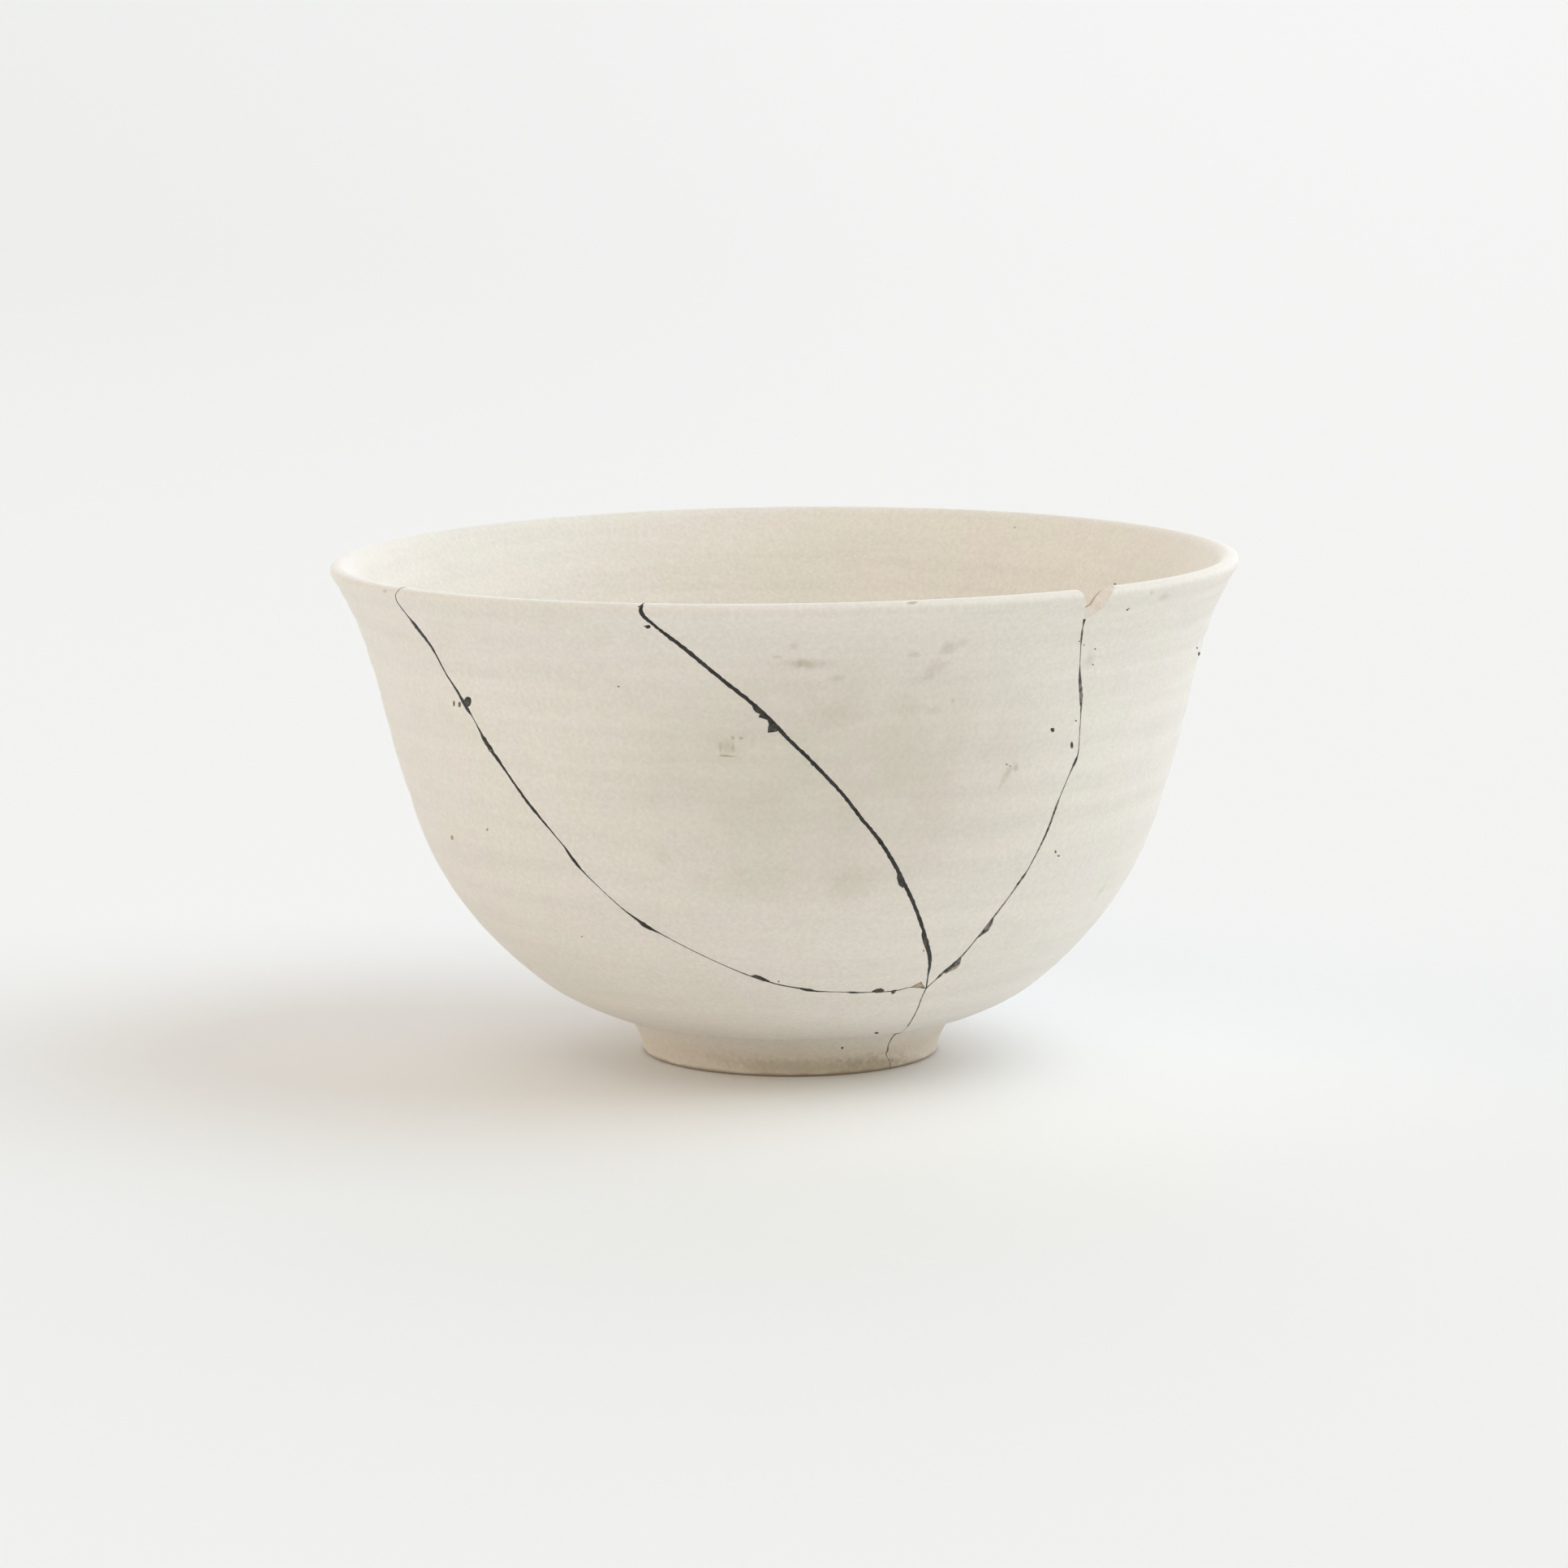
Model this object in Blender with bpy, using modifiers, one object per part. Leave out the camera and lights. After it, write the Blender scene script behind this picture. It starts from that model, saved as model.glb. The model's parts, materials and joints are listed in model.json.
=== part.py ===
"""A hand-thrown white bowl on a turned foot, broken into three sherds and put together again.

Units are metres, +Z is up. The bowl stands on z = 0, the middle of its rim is over the
origin and its front faces -Y. Azimuths are in degrees from the front, growing towards +X.
"""

from math import cos, degrees, pi, radians, sin

import bmesh
import bpy
from mathutils import Vector

# Rim and wall
RIM_RADIUS = 0.0750
BOWL_HEIGHT = 0.0834
RIM_WALL = 0.0031
BASE_WALL = 0.0046
LIP_RISE = 0.0017
# The wall's outside, as shares of the way out and up from the foot's crease to the lip
WALL_SHAPE = (
    (0.0, 0.0),
    (0.108, 0.016),
    (0.300, 0.083),
    (0.514, 0.217),
    (0.670, 0.376),
    (0.778, 0.576),
    (0.858, 0.777),
    (0.918, 0.897),
    (1.0, 1.0),
)

# Foot and floor
FOOT_HEIGHT = 0.0069
FOOT_RADIUS = 0.02455
FOOT_FLARE = 0.00315
FOOT_FLARE_POWER = 1.6
FOOT_RING_WIDTH = 0.0050
FOOT_EDGE = 0.0004
FOOT_RECESS = 0.0046
RECESS_DRAFT = 0.0008
RECESS_FILLET = 0.0010
FLOOR_DISH = 0.0012
FLOOR_DISH_POWER = 2.4

# How the soft clay moved: a sideways drift, a tilted rim and a rim bent like a saddle
DRIFT_PER_HEIGHT = 0.013
RIM_TILT = 0.012
RIM_SADDLE = 0.0003
TILT_START_SHARE = 0.12
TILT_FULL_SHARE = 0.48

# Breaks: azimuth in degrees and height as a share of the bowl's, followed from the rim down
BREAK_GAP = 0.0003
BLADE_REACH = 0.0080
BLADE_OVERRUN = 0.0005
BLADE_AIM_SHARE = 0.62
JUNCTION = (27.3, 0.217)
LEFT_BREAK = (
    (-56.5, 1.06),
    (-55.2, 0.98),
    (-53.3, 0.934),
    (-48.5, 0.803),
    (-44.4, 0.693),
    (-39.3, 0.598),
    (-33.8, 0.501),
    (-27.1, 0.400),
    (-18.6, 0.326),
    (-6.9, 0.260),
    (5.7, 0.223),
    JUNCTION,
)
MIDDLE_BREAK = (
    (-17.1, 1.06),
    (-17.0, 0.982),
    (-15.3, 0.956),
    (-12.1, 0.910),
    (-8.2, 0.860),
    (-2.0, 0.772),
    (5.6, 0.658),
    (10.3, 0.582),
    (15.5, 0.488),
    (20.5, 0.378),
    (24.0, 0.308),
    (26.2, 0.249),
    JUNCTION,
)
# This one starts in the notch below, at NOTCH_START_SHARE of its depth
RIGHT_BREAK = (
    (39.7, 0.918),
    (41.2, 0.840),
    (42.8, 0.777),
    (43.8, 0.679),
    (42.0, 0.594),
    (39.9, 0.492),
    (36.6, 0.402),
    (33.0, 0.318),
    (29.3, 0.248),
    JUNCTION,
)

# The chip that is missing from the rim, where the right-hand break comes up
NOTCH_AZIMUTH = 39.2
NOTCH_DEPTH = 0.0049
NOTCH_WIDTH = 0.0062
NOTCH_FLOOR = 0.0005
NOTCH_CLEARANCE = 0.0030
NOTCH_START_SHARE = 0.4

# Mesh fineness
TURN_STEPS = 84
WALL_STEPS = 2
BREAK_STEPS = 2
LIP_STEPS = 6
FOOT_STEPS = 4
FLOOR_STEPS = 3
FILLET_STEPS = 3
MERGE_DISTANCE = 0.00001
SHARP_ANGLE = 35

# Finish
BISQUE_WHITE = (0.80, 0.77, 0.70, 1.0)
BISQUE_ROUGHNESS = 0.75

LIP_HEIGHT = BOWL_HEIGHT - LIP_RISE
CREASE_RADIUS = FOOT_RADIUS + FOOT_FLARE


def clear_scene():
    for obj in list(bpy.data.objects):
        bpy.data.objects.remove(obj)


def smooth_curve(points, steps):
    """A Catmull-Rom curve through the points, with this many steps between two of them."""
    knots = [Vector(point) for point in points]
    before = 2 * knots[0] - knots[1]
    after = 2 * knots[-1] - knots[-2]
    knots = [before, *knots, after]
    curve = []
    for a, b, c, d in zip(knots, knots[1:], knots[2:], knots[3:]):
        for step in range(steps):
            t = step / steps
            bend = (2 * a - 5 * b + 4 * c - d) * t**2 + (3 * b - a - 3 * c + d) * t**3
            curve.append(0.5 * (2 * b + (c - a) * t + bend))
    curve.append(knots[-2])
    return curve


def outer_wall():
    """Radius and height up the outside, from the foot's crease to the lip's outer corner."""
    width = RIM_RADIUS - CREASE_RADIUS
    rise = LIP_HEIGHT - FOOT_HEIGHT
    corners = [(CREASE_RADIUS + out * width, FOOT_HEIGHT + up * rise) for out, up in WALL_SHAPE]
    return smooth_curve(corners, WALL_STEPS)


def inner_wall(outside):
    """The inside, from the floor's edge to the lip: the outside moved in by the wall."""
    inside = []
    last = len(outside) - 1
    for index in range(last):
        ahead = outside[index + 1] - outside[max(index - 1, 0)]
        inward = Vector((-ahead.y, ahead.x)).normalized()
        wall = BASE_WALL + (RIM_WALL - BASE_WALL) * index / last
        inside.append(outside[index] + inward * wall)
    inside.append(Vector((RIM_RADIUS - RIM_WALL, LIP_HEIGHT)))
    return inside


def floor_dish(edge):
    """The inner floor, from the axis to the point where the wall begins."""
    dish = []
    for step in range(FLOOR_STEPS):
        share = step / FLOOR_STEPS
        drop = FLOOR_DISH * (1 - share**FLOOR_DISH_POWER)
        dish.append(Vector((edge.x * share, edge.y - drop)))
    return dish


def lip_round():
    """The lip's rounding over the wall, between its inner end and its outer corner."""
    half = RIM_WALL / 2
    middle = RIM_RADIUS - half
    curve = []
    for step in range(1, LIP_STEPS):
        turn = pi - pi * step / LIP_STEPS
        curve.append(Vector((middle + half * cos(turn), LIP_HEIGHT + LIP_RISE * sin(turn))))
    return curve


def foot_outline():
    """Down the foot's hollow side, over its ring and up under the floor to the axis."""
    outline = []
    for step in range(1, FOOT_STEPS + 1):
        height = FOOT_HEIGHT + (FOOT_EDGE - FOOT_HEIGHT) * step / FOOT_STEPS
        flare = FOOT_FLARE * (height / FOOT_HEIGHT) ** FOOT_FLARE_POWER
        outline.append(Vector((FOOT_RADIUS + flare, height)))
    ring_inside = FOOT_RADIUS - FOOT_RING_WIDTH
    outline.append(Vector((FOOT_RADIUS - FOOT_EDGE, 0)))
    outline.append(Vector((ring_inside + FOOT_EDGE, 0)))
    outline.append(Vector((ring_inside, FOOT_EDGE)))
    corner = ring_inside - RECESS_DRAFT - RECESS_FILLET
    for step in range(FILLET_STEPS + 1):
        turn = 0.5 * pi * step / FILLET_STEPS
        out = corner + RECESS_FILLET * cos(turn)
        up = FOOT_RECESS - RECESS_FILLET + RECESS_FILLET * sin(turn)
        outline.append(Vector((out, up)))
    outline.append(Vector((0, FOOT_RECESS)))
    return outline


def bowl_profile():
    outside = outer_wall()
    inside = inner_wall(outside)
    return floor_dish(inside[0]) + inside + lip_round() + outside[::-1] + foot_outline()


def new_object(name, mesh, collection):
    obj = bpy.data.objects.new(name, mesh)
    collection.objects.link(obj)
    return obj


def turned_bowl(collection):
    """The whole bowl as it was thrown, before it broke."""
    points = [(point.x, 0, point.y) for point in bowl_profile()]
    edges = [(index, index + 1) for index in range(len(points) - 1)]
    mesh = bpy.data.meshes.new("turned_bowl")
    mesh.from_pydata(points, edges, [])
    bowl = new_object("turned_bowl", mesh, collection)
    screw = bowl.modifiers.new("Turn", "SCREW")
    screw.steps = TURN_STEPS
    screw.render_steps = TURN_STEPS
    screw.use_merge_vertices = True
    screw.merge_threshold = MERGE_DISTANCE
    return bowl


def wall_radius(height):
    """The outside's radius at a height, which stays the rim's above it."""
    outside = outer_wall()
    for low, high in zip(outside, outside[1:]):
        if height <= high.y:
            share = max(height - low.y, 0) / (high.y - low.y)
            return low.x + (high.x - low.x) * share
    return RIM_RADIUS


def around(radius, azimuth, height):
    turn = radians(azimuth)
    return Vector((radius * sin(turn), -radius * cos(turn), height))


def as_cutter(obj):
    obj.hide_render = True
    obj.display_type = "WIRE"
    return obj


def break_blade(name, route, collection):
    """A thin ribbon through the wall along a break. It runs a little past the junction."""
    aim = Vector((0, 0, BLADE_AIM_SHARE * BOWL_HEIGHT))
    line = []
    for azimuth, share in smooth_curve(route, BREAK_STEPS):
        height = share * BOWL_HEIGHT
        line.append(around(wall_radius(height), azimuth, height))
    line[-1] += (line[-1] - line[-2]).normalized() * BLADE_OVERRUN
    ribbon = bmesh.new()
    rungs = []
    for point in line:
        reach = (point - aim).normalized() * BLADE_REACH
        rungs.append((ribbon.verts.new(point - reach), ribbon.verts.new(point + reach)))
    for (inner, outer), (next_inner, next_outer) in zip(rungs, rungs[1:]):
        ribbon.faces.new((inner, outer, next_outer, next_inner))
    mesh = bpy.data.meshes.new(name)
    ribbon.to_mesh(mesh)
    ribbon.free()
    blade = as_cutter(new_object(name, mesh, collection))
    solidify = blade.modifiers.new("Gap", "SOLIDIFY")
    solidify.thickness = BREAK_GAP
    solidify.offset = 0
    solidify.use_even_offset = True
    return blade


def notch_start():
    """Azimuth and height share over the notch's floor, where the right-hand break begins."""
    azimuth = NOTCH_AZIMUTH + degrees(0.5 * NOTCH_FLOOR / RIM_RADIUS)
    return azimuth, 1 - NOTCH_START_SHARE * NOTCH_DEPTH / BOWL_HEIGHT


def notch_cutter(collection):
    """The missing chip: steep on the side of the break, sloping up on the other."""
    radial = around(1, NOTCH_AZIMUTH, 0)
    sideways = around(1, NOTCH_AZIMUTH + 90, 0)
    top = BOWL_HEIGHT + NOTCH_CLEARANCE
    slope = (NOTCH_WIDTH - NOTCH_FLOOR) / NOTCH_DEPTH
    outline = (
        (0, top),
        (0, BOWL_HEIGHT - NOTCH_DEPTH),
        (NOTCH_FLOOR, BOWL_HEIGHT - NOTCH_DEPTH),
        (NOTCH_WIDTH + slope * NOTCH_CLEARANCE, top),
    )
    start = radial * (RIM_RADIUS - BLADE_REACH)
    depth = radial * (BLADE_REACH + NOTCH_CLEARANCE)
    wedge = bmesh.new()
    corners = [wedge.verts.new(start + sideways * side + Vector((0, 0, up))) for side, up in outline]
    cap = wedge.faces.new(corners)
    moved = bmesh.ops.extrude_face_region(wedge, geom=[cap], use_keep_orig=True)["geom"]
    bmesh.ops.translate(
        wedge, verts=[item for item in moved if isinstance(item, bmesh.types.BMVert)], vec=depth
    )
    bmesh.ops.recalc_face_normals(wedge, faces=wedge.faces)
    mesh = bpy.data.meshes.new("rim_notch")
    wedge.to_mesh(mesh)
    wedge.free()
    return as_cutter(new_object("rim_notch", mesh, collection))


def cut(obj, cutter):
    boolean = obj.modifiers.new(cutter.name, "BOOLEAN")
    boolean.operation = "DIFFERENCE"
    boolean.object = cutter


def settle(point):
    """Moves a point of the true bowl to where it is on the drifted, tilted and bent one."""
    share = point.z / BOWL_HEIGHT
    ramp = (share - TILT_START_SHARE) / (TILT_FULL_SHARE - TILT_START_SHARE)
    ramp = min(max(ramp, 0), 1)
    ramp = ramp**2 * (3 - 2 * ramp)
    distance = max(point.x**2 + point.y**2, MERGE_DISTANCE**2)
    saddle = RIM_SADDLE * (point.y**2 - point.x**2) / distance
    rim_drift = DRIFT_PER_HEIGHT * (LIP_HEIGHT - FOOT_HEIGHT)
    drift = DRIFT_PER_HEIGHT * max(point.z - FOOT_HEIGHT, 0)
    lift = ramp * (RIM_TILT * point.x + saddle)
    return Vector((point.x - drift + rim_drift, point.y, point.z + lift))


def loose_pieces(obj):
    """The separate bodies of the evaluated object, each as a set of vertex indices."""
    graph = bpy.context.evaluated_depsgraph_get()
    mesh = bpy.data.meshes.new_from_object(obj.evaluated_get(graph))
    whole = bmesh.new()
    whole.from_mesh(mesh)
    bpy.data.meshes.remove(mesh)
    bmesh.ops.triangulate(whole, faces=whole.faces)
    left = set(whole.verts)
    pieces = []
    while left:
        piece = set()
        front = {left.pop()}
        while front:
            piece |= front
            front = {edge.other_vert(vert) for vert in front for edge in vert.link_edges} - piece
        left -= piece
        pieces.append({vert.index for vert in piece})
    return whole, pieces


def sherd_object(name, whole, piece, collection):
    part = whole.copy()
    part.verts.ensure_lookup_table()
    bmesh.ops.delete(
        part, geom=[vert for vert in part.verts if vert.index not in piece], context="VERTS"
    )
    for vert in part.verts:
        vert.co = settle(vert.co)
    mesh = bpy.data.meshes.new(name)
    part.to_mesh(mesh)
    part.free()
    mesh.shade_smooth()
    mesh.set_sharp_from_angle(angle=radians(SHARP_ANGLE))
    mesh.materials.append(bpy.data.materials["bisque_porcelain"])
    return new_object(name, mesh, collection)


def bisque_porcelain():
    material = bpy.data.materials.new("bisque_porcelain")
    material.use_nodes = True
    surface = material.node_tree.nodes["Principled BSDF"]
    surface.inputs["Base Color"].default_value = BISQUE_WHITE
    surface.inputs["Roughness"].default_value = BISQUE_ROUGHNESS
    surface.inputs["Metallic"].default_value = 0.0


def new_collection(name):
    collection = bpy.data.collections.new(name)
    bpy.context.scene.collection.children.link(collection)
    return collection


def how_far_right(whole, piece):
    """The mean place of a piece along X, which tells the two front sherds apart."""
    return sum(whole.verts[index].co.x for index in piece) / len(piece)


def main():
    clear_scene()
    bisque_porcelain()
    parts = new_collection("mended_bowl")
    cutters = new_collection("cutters")
    bowl = turned_bowl(parts)
    cut(bowl, break_blade("left_break", LEFT_BREAK, cutters))
    cut(bowl, break_blade("middle_break", MIDDLE_BREAK, cutters))
    cut(bowl, break_blade("right_break", (notch_start(), *RIGHT_BREAK), cutters))
    cut(bowl, notch_cutter(cutters))
    whole, pieces = loose_pieces(bowl)
    whole.verts.ensure_lookup_table()
    whole.verts.index_update()
    pieces.sort(key=len)
    sherds = sorted(pieces[:-1], key=lambda piece: how_far_right(whole, piece))
    sherd_object("front_left_sherd", whole, sherds[0], parts)
    sherd_object("front_right_sherd", whole, sherds[1], parts)
    sherd_object("bowl_body", whole, pieces[-1], parts)
    whole.free()
    bpy.data.objects.remove(bowl)


main()
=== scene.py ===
"""A mended white bowl: its fine sherds, the dark filler in the breaks, its marks, the light and the camera.

Units are metres. Azimuths are in degrees from the front, -Y, growing towards +X. A place named in
pixels is in the photograph's square frame, PHOTO_SIDE pixels wide, and is cast from the camera
onto the bowl, so that it lies on the surface from any side.
"""

import json
from math import atan2, cos, exp, pi, radians, sin, sqrt, tau

import bmesh
import bpy
from mathutils import Matrix, Vector, noise
from mathutils.bvhtree import BVHTree

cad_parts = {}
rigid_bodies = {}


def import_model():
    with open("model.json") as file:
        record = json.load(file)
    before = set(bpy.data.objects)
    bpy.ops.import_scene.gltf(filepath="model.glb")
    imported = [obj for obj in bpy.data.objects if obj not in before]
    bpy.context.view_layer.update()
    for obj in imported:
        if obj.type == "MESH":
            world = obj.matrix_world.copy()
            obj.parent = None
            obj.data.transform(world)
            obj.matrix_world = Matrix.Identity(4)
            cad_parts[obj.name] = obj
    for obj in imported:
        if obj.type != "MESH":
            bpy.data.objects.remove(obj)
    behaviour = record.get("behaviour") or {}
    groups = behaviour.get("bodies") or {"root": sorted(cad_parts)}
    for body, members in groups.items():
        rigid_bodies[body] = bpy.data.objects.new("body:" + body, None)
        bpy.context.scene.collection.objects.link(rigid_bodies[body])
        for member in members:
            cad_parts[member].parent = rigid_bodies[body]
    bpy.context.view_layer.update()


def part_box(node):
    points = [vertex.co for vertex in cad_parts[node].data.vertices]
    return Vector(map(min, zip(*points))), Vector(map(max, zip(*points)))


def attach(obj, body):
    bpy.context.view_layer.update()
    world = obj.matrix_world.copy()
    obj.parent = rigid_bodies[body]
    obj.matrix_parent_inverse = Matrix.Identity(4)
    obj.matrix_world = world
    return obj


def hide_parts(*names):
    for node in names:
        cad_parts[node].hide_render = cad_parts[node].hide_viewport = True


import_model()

# The camera, fitted to the rim and the foot in the photograph
PHOTO_SIDE = 1932
PHOTO_MIDDLE = PHOTO_SIDE / 2
FOCAL_PIXELS = 6885
SENSOR_WIDTH = 36
CAMERA_PLACE = Vector((-0.00008, -0.91983, 0.18406))
CAMERA_PITCH = 8.614
CLIP_END = 100

# Blender's vector noise starts from the clock unless a seed is set, so this keeps each run the same
NOISE_SEED = 7

# The thrown form, as the solids have it
body_low, body_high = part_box("bowl_body")
RIM_RADIUS = 0.5 * (body_high.x - body_low.x)
BOWL_HEIGHT = 0.0834
RIM_WALL = 0.0031
BASE_WALL = 0.0046
LIP_RISE = 0.0017
LIP_HEIGHT = BOWL_HEIGHT - LIP_RISE
WALL_SHAPE = (
    (0.0, 0.0),
    (0.108, 0.016),
    (0.300, 0.083),
    (0.514, 0.217),
    (0.670, 0.376),
    (0.778, 0.576),
    (0.858, 0.777),
    (0.918, 0.897),
    (1.0, 1.0),
)
FOOT_HEIGHT = 0.0069
FOOT_RADIUS = 0.02455
FOOT_FLARE = 0.00315
FOOT_FLARE_POWER = 1.6
FOOT_RING_WIDTH = 0.0050
FOOT_EDGE = 0.0004
FOOT_RECESS = 0.0046
RECESS_DRAFT = 0.0008
RECESS_FILLET = 0.0010
FLOOR_DISH = 0.0012
FLOOR_DISH_POWER = 2.4
CREASE_RADIUS = FOOT_RADIUS + FOOT_FLARE

# How the soft clay moved, as in the solids
DRIFT_PER_HEIGHT = 0.013
RIM_TILT = 0.012
RIM_SADDLE = 0.0003
TILT_START_SHARE = 0.12
TILT_FULL_SHARE = 0.48

# The lip follows the wall's lean on both sides, which makes it this much wider than the wall's end
LIP_LEAN = 0.505
LIP_BULGE = 0.00015
LIP_END = RIM_RADIUS - LIP_BULGE
LIP_CREST = RIM_RADIUS - RIM_WALL / 2
LEVEL_WALL = RIM_WALL * sqrt(1 + LIP_LEAN**2)

# Fineness of the thrown surface
TURN_STEPS = 240
WALL_STEPS = 22
INNER_SHARE = 2
LIP_STEPS = 18
FOOT_STEPS = 10
FLOOR_STEPS = 20
RECESS_STEPS = 8
FILLET_STEPS = 5
MERGE_DISTANCE = 0.00001
SHARP_ANGLE = 35

# Throwing marks: spiral rings, slow undulation, and single rings as (height, depth, half width)
RING_PITCH = 0.0062
RING_DEPTH = 0.00007
UNDULATION_DEPTH = 0.00012
UNDULATION_SIZE = 0.024
SINGLE_RINGS = (
    (0.0797, 0.00016, 0.0008),
    (0.0776, 0.00010, 0.0008),
    (0.0742, 0.00010, 0.0012),
    (0.0700, 0.00014, 0.0008),
    (0.0652, 0.00010, 0.0014),
    (0.0622, 0.00012, 0.0008),
    (0.0560, 0.00008, 0.0014),
    (0.0450, 0.00016, 0.0012),
)
FLAT_BELOW = 0.0012
LIP_MARKS = 0.25

# The breaks: pixel x, pixel y and the line's width there in pixels, from the rim down to the junction
JUNCTION = (1141.3, 1217.5, 1.6)
LEFT_BREAK = (
    (492.5, 725.5, 1.0),
    (487.6, 733, 1.0),
    (490.2, 742.8, 1.2),
    (504, 761, 1.6),
    (511, 769.8, 4.0),
    (518.5, 779.5, 3.4),
    (533, 799.4, 2.4),
    (549.5, 830, 1.7),
    (564.2, 853, 2.6),
    (574.4, 871.5, 4.0),
    (583, 885, 1.2),
    (592, 902, 2.4),
    (600, 916.5, 4.8),
    (615.2, 938.4, 3.2),
    (632.6, 964, 2.4),
    (652, 991, 3.4),
    (682, 1027.4, 1.6),
    (695, 1043, 1.8),
    (707, 1060, 3.6),
    (724.4, 1080, 1.4),
    (762.7, 1116, 1.3),
    (787, 1134.5, 3.2),
    (797, 1141.6, 5.2),
    (812, 1149.5, 1.6),
    (850, 1169.6, 1.1),
    (889, 1188, 1.0),
    (924, 1202.4, 1.4),
    (957, 1212.6, 1.6),
    (982, 1217.3, 1.8),
    (997, 1220, 3.6),
    (1010, 1221.6, 1.6),
    (1040, 1222.4, 1.0),
    (1052, 1223, 2.6),
    (1066, 1222.8, 1.2),
    (1101, 1221.2, 1.2),
    (1122, 1216.4, 1.0),
    JUNCTION,
)
MIDDLE_BREAK = (
    (791.6, 745, 3.4),
    (789.6, 751.5, 4.8),
    (794, 760, 4.6),
    (809, 772.9, 3.4),
    (823.8, 784.4, 4.6),
    (846, 801.2, 4.6),
    (892.6, 839.8, 4.6),
    (929.4, 868.7, 4.6),
    (953.5, 891.7, 4.8),
    (971.8, 911.2, 4.4),
    (1000.6, 938.7, 4.4),
    (1038.6, 979, 4.4),
    (1061, 1008, 4.4),
    (1083, 1034.8, 4.6),
    (1101, 1063, 4.8),
    (1114.4, 1089.3, 4.6),
    (1129, 1121.2, 4.6),
    (1138.7, 1149.3, 4.2),
    (1145, 1174.8, 4.8),
    (1145.3, 1190, 3.6),
    (1143.4, 1202, 2.0),
    JUNCTION,
)
RIGHT_BREAK = (
    (1336.2, 763, 3.4),
    (1334.2, 773, 1.4),
    (1333, 781, 2.6),
    (1331.6, 798.4, 1.2),
    (1330.6, 822.5, 1.3),
    (1330.6, 836, 3.4),
    (1332, 856, 4.2),
    (1331.8, 877.6, 1.5),
    (1330.5, 900, 1.1),
    (1328.8, 925.8, 1.3),
    (1325, 938, 3.0),
    (1318.6, 952, 1.3),
    (1306.4, 981, 1.5),
    (1302, 992.4, 2.4),
    (1288.6, 1028, 2.2),
    (1268.5, 1068, 1.4),
    (1258, 1084, 2.6),
    (1244, 1104, 1.4),
    (1226.7, 1127, 2.0),
    (1201, 1159.4, 1.4),
    (1183, 1180.2, 2.0),
    (1161, 1199.6, 2.8),
    (1152, 1208, 1.4),
    JUNCTION,
)
FOOT_CRACK = (
    JUNCTION,
    (1135.4, 1230, 1.5),
    (1129.5, 1245.4, 1.5),
    (1119, 1263.7, 1.4),
    (1110.2, 1272.1, 1.1),
    (1102.1, 1275, 1.7),
    (1095.1, 1286.1, 1.3),
    (1093.7, 1294, 2.2),
    (1091.7, 1299, 1.2),
    (1096.5, 1308.6, 1.0),
    (1097, 1315.6, 1.1),
)

# Where filler spread over chipped edges: outlines in pixels
FILLER_CHIPS = (
    ((926, 868), (928.2, 874.4), (930.5, 877.3), (934.5, 879.3), (939, 880.4), (941, 878)),
    ((937, 878), (934.6, 883.6), (939.7, 885.3), (946, 887.6), (949, 886)),
    (
        (945, 886),
        (947.4, 892.8),
        (946.2, 897),
        (945.8, 902.8),
        (953.5, 902.2),
        (959.6, 900.6),
        (960.5, 898),
    ),
    ((998, 938), (999, 941.4), (1001.7, 944.2), (1003.4, 941.6)),
    ((1106, 1073), (1104.9, 1082), (1107.4, 1090.6), (1112.5, 1095), (1114.6, 1090)),
    ((1136.6, 1146), (1135.2, 1153), (1138, 1163), (1143.4, 1178), (1142, 1160)),
    ((924.5, 1202.2), (931, 1200.8), (937.5, 1202.8), (949.7, 1209.2), (941, 1209.4), (931, 1205.6)),
    ((1073.5, 1221.6), (1079, 1218.6), (1086, 1217.8), (1090.4, 1220.2), (1087, 1223), (1079, 1223.4)),
    ((1098, 1221), (1101, 1219.8), (1105, 1219.2), (1102.6, 1223.6), (1100, 1225.2), (1098, 1223.6)),
)
GREY_CHIPS = (
    ((1226, 1127.5), (1222.6, 1138.6), (1217.4, 1147.4), (1208, 1153.6), (1201.5, 1158.6), (1213.4, 1143)),
    ((1185.2, 1178.4), (1183, 1187), (1175, 1194.6), (1161.6, 1200.2), (1171, 1190.6)),
)
TAN_CHIPS = (
    ((1121.5, 1216.8), (1129, 1212.6), (1135, 1209.4), (1139.5, 1216.4), (1130, 1217.4)),
    ((1184, 1186), (1178.6, 1193.4), (1164, 1200.6), (1171.5, 1193.2)),
)

# Spots: centre x, centre y, half width and half height in pixels
FILLER_SPOTS = (
    (576.3, 864.2, 4.6, 6.2),
    (798.3, 772.3, 3.6, 2.2),
    (794, 771.3, 1.6, 0.6),
    (787.6, 747.4, 1.8, 0.8),
    (1296.9, 899.4, 2.5, 2.8),
    (1320.7, 918.1, 1.7, 4.2),
    (1477.4, 805.8, 1.5, 2.6),
    (1475, 798.4, 0.9, 1.2),
    (959.4, 1209.4, 1.0, 1.0),
    (1037.8, 1291.2, 1.4, 1.4),
    (1080.2, 1272.8, 2.7, 1.2),
    (1325.7, 888.2, 1.1, 1.0),
    (1329.9, 790.3, 0.9, 0.8),
    (1346.6, 818.8, 0.9, 0.9),
    (1373.7, 719.6, 1.6, 0.8),
    (1389, 751.4, 1.4, 1.0),
    (1391, 749.8, 1.2, 0.5),
    (1335.7, 795, 0.9, 0.8),
    (1349.4, 799.7, 0.9, 1.0),
    (1240, 942, 0.8, 0.8),
    (1244.5, 944, 0.9, 0.7),
)
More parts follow.
